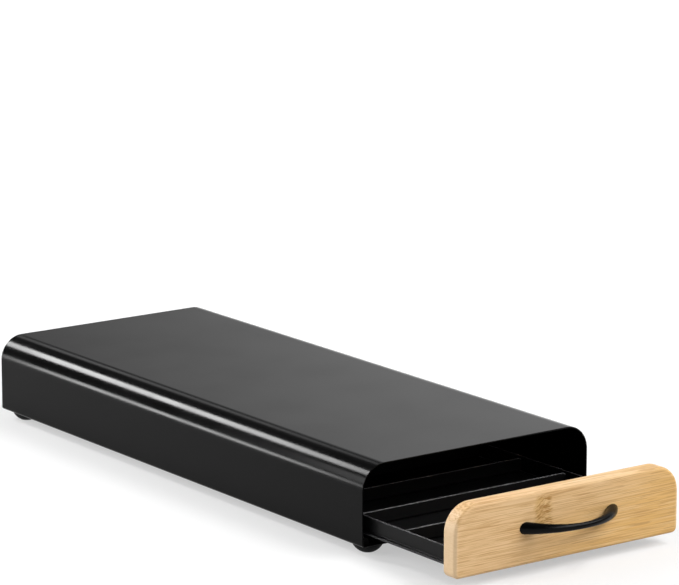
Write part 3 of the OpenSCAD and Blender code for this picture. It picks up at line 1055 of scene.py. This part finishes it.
def shank_profile(length, shank_d, pitch):
    """Half section of a threaded shank, from its tip at -length up to the head at 0."""
    core = shank_d / 2 - THREAD_DEPTH
    profile = [(0.0, -length), (core / 2, -length), (core, -length + pitch)]
    for k in range(int((length - 2 * pitch) / pitch)):
        start = -length + pitch * (THREAD_START + k)
        profile += [(shank_d / 2 if crest else core, start + pitch * step)
                    for step, crest in THREAD_SHAPE]
    return profile + [(core, -NECK), (core, 0.0)]


def head_profile(head_d, head_h):
    """Half section of a pan head, from its seat at 0 up to its crown."""
    radius = head_d / 2
    profile = [(radius - HEAD_RIM, 0.0), (radius, HEAD_RIM)]
    for angle in quarter(HEAD_STEPS):
        profile.append((radius - radius / 2 * (1 - math.cos(angle)),
                        head_h * (HEAD_SIDE + (1 - HEAD_SIDE) * math.sin(angle))))
    return profile + [(0.0, head_h)]


def screw(at, length, shank_d, head_d, head_h, pitch):
    """A pan-head screw with a cross recess. Its head points to +Y and starts at the point at."""
    profile = shank_profile(length, shank_d, pitch) + head_profile(head_d, head_h)
    piece = lathe("screw", profile, along_y(*at))
    arm = head_d * RECESS_ARM
    slot = head_d * RECESS_SLOT
    deep = at[1] + head_h * HEAD_SIDE
    for x, z in ((arm, slot), (slot, arm)):
        cut = block((at[0] - x, deep, at[2] - z), (at[0] + x, at[1] + head_h * 2, at[2] + z))
        combined(piece, [cut], "DIFFERENCE")
    return soften(piece, SCREW_EDGE_R, 2, SCREW_SHARP)


def panel_screws():
    """Four screws through the tray's front wall into the bamboo."""
    low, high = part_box("panel_screws")
    z = (low.z + high.z) / 2
    seat = high.y - SCREW_HEAD_H
    parts = [screw((x, seat, z), SCREW_L, SCREW_D, SCREW_HEAD_D, SCREW_HEAD_H, SCREW_PITCH)
             for x in SCREW_XS]
    finish(joined("tray_screws", parts), "drawer", "zinc", ZINC, "panel_screws")


def handle_screws():
    """Two screws from the back of the bamboo into the handle."""
    low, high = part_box("handle_screws")
    z = (low.z + high.z) / 2
    seat = high.y - BOLT_HEAD_H
    parts = [screw((side * HANDLE_SPAN / 2, seat, z), seat - low.y, BOLT_D, BOLT_HEAD_D,
                   BOLT_HEAD_H, BOLT_PITCH) for side in (-1, 1)]
    finish(joined("grip_screws", parts), "drawer", "zinc", ZINC, "handle_screws")


def bamboo_front():
    """The board with its round top corners, soft edges, blind screw holes and counterbores."""
    low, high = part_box("bamboo_front")
    rings = []

    def ring(inset, y):
        outline = rounded_outline(high.x, low.z, high.z, BOARD_LOW_R, BOARD_TOP_R, inset,
                                  BOARD_CORNER_STEPS)
        rings.append([Vector((px, y, pz)) for px, pz in outline])

    for angle in quarter(BOARD_EDGE_STEPS):
        ring(BOARD_EDGE_R * (1 - math.sin(angle)), low.y + BOARD_EDGE_R * (1 - math.cos(angle)))
    for angle in reversed(quarter(BOARD_EDGE_STEPS)):
        ring(BOARD_EDGE_R * (1 - math.sin(angle)), high.y - BOARD_EDGE_R * (1 - math.cos(angle)))
    board = loft("bamboo_board", rings)
    screws_low, screws_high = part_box("panel_screws")
    bolts_low, bolts_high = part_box("handle_screws")
    screw_z = (screws_low.z + screws_high.z) / 2
    bolt_z = (bolts_low.z + bolts_high.z) / 2
    blind = high.y - screws_low.y + BLIND_ROOM
    sink = high.y - (bolts_high.y - BOLT_HEAD_H)
    cutters = [bore(x, high.y - blind, screw_z, SCREW_D + 2 * HOLE_GAP, 2 * blind)
               for x in SCREW_XS]
    for side in (-1, 1):
        x = side * HANDLE_SPAN / 2
        cutters.append(bore(x, low.y - sink, bolt_z, BOLT_D + 2 * HOLE_GAP, 3 * (high.y - low.y)))
        cutters.append(bore(x, high.y - sink, bolt_z, BOLT_HEAD_D + 4 * HOLE_GAP, 2 * sink))
    for cutter in cutters:
        combined(board, [cutter], "DIFFERENCE")
    finish(board, "drawer", "bamboo", BAMBOO, "bamboo_front")


def handle():
    """The bow handle: a bar on one arc, thickest at its flush ends, with a bore in each end."""
    low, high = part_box("handle")
    z = (low.z + high.z) / 2
    face = high.y
    rise = HANDLE_REACH - GRIP_D / 2
    bend_r = (BOW_SPAN ** 2 / 4 + rise ** 2) / (2 * rise)
    sweep = math.asin(BOW_SPAN / 2 / bend_r) + math.asin(ROOT_D / bend_r)
    rings = []
    for i in range(HANDLE_RINGS + 1):
        angle = sweep * (1 - 2 * i / HANDLE_RINGS)
        x = bend_r * math.sin(angle)
        out = rise - bend_r * (1 - math.cos(angle))
        radius = GRIP_D / 2 + (ROOT_D - GRIP_D) / 2 * (2 * x / BOW_SPAN) ** 2
        ring = []
        for k in range(HANDLE_SIDES):
            c = 2 * math.pi * k / HANDLE_SIDES
            off = radius * math.cos(c)
            ring.append(Vector((x + off * math.sin(angle), face - out - off * math.cos(angle),
                                z + radius * math.sin(c))))
        rings.append(ring)
    bow = loft("handle_bow", rings)
    cutters = [block((-BOW_SPAN, face, z - ROOT_D), (BOW_SPAN, face + 2 * ROOT_D, z + ROOT_D))]
    cutters += [bore(side * HANDLE_SPAN / 2, face - BOLT_BORE_L, z, BOLT_D + 2 * HOLE_GAP,
                     2 * BOLT_BORE_L) for side in (-1, 1)]
    for cutter in cutters:
        combined(bow, [cutter], "DIFFERENCE")
    finish(bow, "drawer", "handle_black", HANDLE_PAINT, "handle")


# ---- Stage ----


def camera():
    """The camera, turned by its azimuth, elevation and roll."""
    sin_a, cos_a = math.sin(CAMERA_AZIMUTH), math.cos(CAMERA_AZIMUTH)
    sin_e, cos_e = math.sin(CAMERA_ELEVATION), math.cos(CAMERA_ELEVATION)
    back = Vector((sin_a * cos_e, -cos_a * cos_e, sin_e))
    level = Vector((cos_a, sin_a, 0.0))
    rise = back.cross(level)
    right = level * math.cos(CAMERA_ROLL) + rise * math.sin(CAMERA_ROLL)
    up = back.cross(right)
    data = bpy.data.cameras.new("camera")
    data.lens = CAMERA_LENS
    data.clip_end = CAMERA_CLIP_END
    eye = bpy.data.objects.new("camera", data)
    turn = Matrix((right, up, back)).transposed().to_4x4()
    eye.matrix_world = Matrix.Translation(CAMERA_AT) @ turn
    bpy.context.scene.collection.objects.link(eye)
    bpy.context.scene.camera = eye


def panel(name, away, distance, width, height, radiance, across=None, shift=(0.0, 0.0)):
    """A rectangular lamp that faces the object. Its width runs along the direction across."""
    back = Vector(away).normalized()
    wide = Vector(across) if across else Vector((0.0, 0.0, 1.0)).cross(back)
    wide = (wide - back * wide.dot(back)).normalized()
    tall = back.cross(wide)
    data = bpy.data.lights.new(name, "AREA")
    data.shape = "RECTANGLE"
    data.size = width
    data.size_y = height
    data.energy = radiance * math.pi * width * height
    lamp = bpy.data.objects.new(name, data)
    place = back * distance + wide * shift[0] + tall * shift[1]
    turn = Matrix((wide, tall, back)).transposed().to_4x4()
    lamp.matrix_world = Matrix.Translation(place) @ turn
    lamp.visible_camera = False
    bpy.context.scene.collection.objects.link(lamp)


def floor():
    """A wide pale floor that shows white to the camera and keeps the object's shadow."""
    half = FLOOR_HALF
    corners = [(-half, -half, FLOOR_Z), (half, -half, FLOOR_Z), (half, half, FLOOR_Z),
               (-half, half, FLOOR_Z)]
    piece = mesh_from("floor", corners, [(0, 1, 2, 3)])
    m = Material("floor")
    m.settings(Base_Color=FLOOR_GREY, Roughness=0.8, Specular_IOR_Level=0.1)
    # The glow is faint beside the object and makes up for the fading light further out
    away = m.tree.nodes.new("ShaderNodeVectorMath")
    away.operation = "LENGTH"
    m.feed(away.inputs[0], m.here)
    strength = m.span(away.outputs["Value"], *GLOW_RANGE, *GLOW_STRENGTH)
    path = m.tree.nodes.new("ShaderNodeLightPath")
    seen = m.plus(path.outputs["Is Camera Ray"], path.outputs["Is Glossy Ray"])
    seen = m.math("ADD", seen, path.outputs["Is Transmission Ray"], clamp=True)
    glow = m.tree.nodes.new("ShaderNodeEmission")
    glow.inputs["Color"].default_value = WHITE
    m.feed(glow.inputs["Strength"], m.times(seen, strength))
    both = m.tree.nodes.new("ShaderNodeAddShader")
    out = m.tree.nodes["Material Output"]
    m.feed(both.inputs[0], m.shader.outputs[0])
    m.feed(both.inputs[1], glow.outputs[0])
    m.feed(out.inputs["Surface"], both.outputs[0])
    piece.data.materials.append(m.material)


def surroundings():
    """A dim room with a broad pale card on the right that fades out softly."""
    world = bpy.data.worlds.new("studio")
    world.use_nodes = True
    tree = world.node_tree
    way = tree.nodes.new("ShaderNodeTexCoord")
    towards = tree.nodes.new("ShaderNodeVectorMath")
    towards.operation = "DOT_PRODUCT"
    towards.inputs[1].default_value = CARD_WAY
    tree.links.new(way.outputs["Generated"], towards.inputs[0])
    fade = tree.nodes.new("ShaderNodeMapRange")
    fade.interpolation_type = "SMOOTHSTEP"
    for key, number in (("From Min", CARD_EDGE[0]), ("From Max", CARD_EDGE[1]),
                        ("To Min", ROOM_LIGHT), ("To Max", CARD_LIGHT)):
        fade.inputs[key].default_value = number
    tree.links.new(towards.outputs["Value"], fade.inputs["Value"])
    back = tree.nodes["Background"]
    back.inputs["Color"].default_value = WHITE
    tree.links.new(fade.outputs["Result"], back.inputs["Strength"])
    bpy.context.scene.world = world


def studio():
    """Plain soft light: a dim room, four softboxes, and strips that draw the bend's highlights."""
    bpy.context.scene.view_settings.view_transform = "Standard"
    surroundings()
    # The broad highlight along the left bend, the thin one below it and the faint one above it
    panel("strip_high", (-0.28, 0.80, 0.52), distance=3.0, width=0.62, height=0.60,
          radiance=42.0, across=(0.884, 0.005, 0.467), shift=(0.03, 0.01))
    panel("strip_low", (-0.573, 0.819, 0.058), distance=1.2, width=0.30, height=0.13,
          radiance=27.5, shift=(0.07, 0.0))
    panel("strip_top", (0.332, 0.822, 0.462), distance=3.0, width=0.45, height=0.62,
          radiance=1.4, across=(0.811, 0.0, -0.585), shift=(-0.10, -0.04))
    # A weak one that fills between them towards the front end
    panel("bend_front", (-0.592, 0.758, 0.276), distance=1.2, width=0.25, height=0.36,
          radiance=6.5, across=(-0.661, -0.652, 0.372), shift=(0.225, 0.02))
    # Softboxes: for the left wall, the board's face, the board's top and the handle's underside
    panel("left", (-1.0, 0.35, 0.5), distance=2.8, width=1.8, height=1.6, radiance=4.0)
    panel("front_right", (0.42, -0.68, 0.62), distance=2.6, width=3.6, height=0.62, radiance=7.2)
    panel("high_right", (0.41, -0.38, 0.83), distance=2.6, width=1.7, height=0.6, radiance=10.0)
    panel("front_low", (-0.1, -1.0, 0.16), distance=2.8, width=2.8, height=0.9, radiance=0.8)


camera()
studio()
floor()
housing_shell()
back_panel()
braces()
runners_and_keepers()
stops()
feet_and_bumpers()
tray()
row_dividers()
panel_screws()
bamboo_front()
handle()
handle_screws()
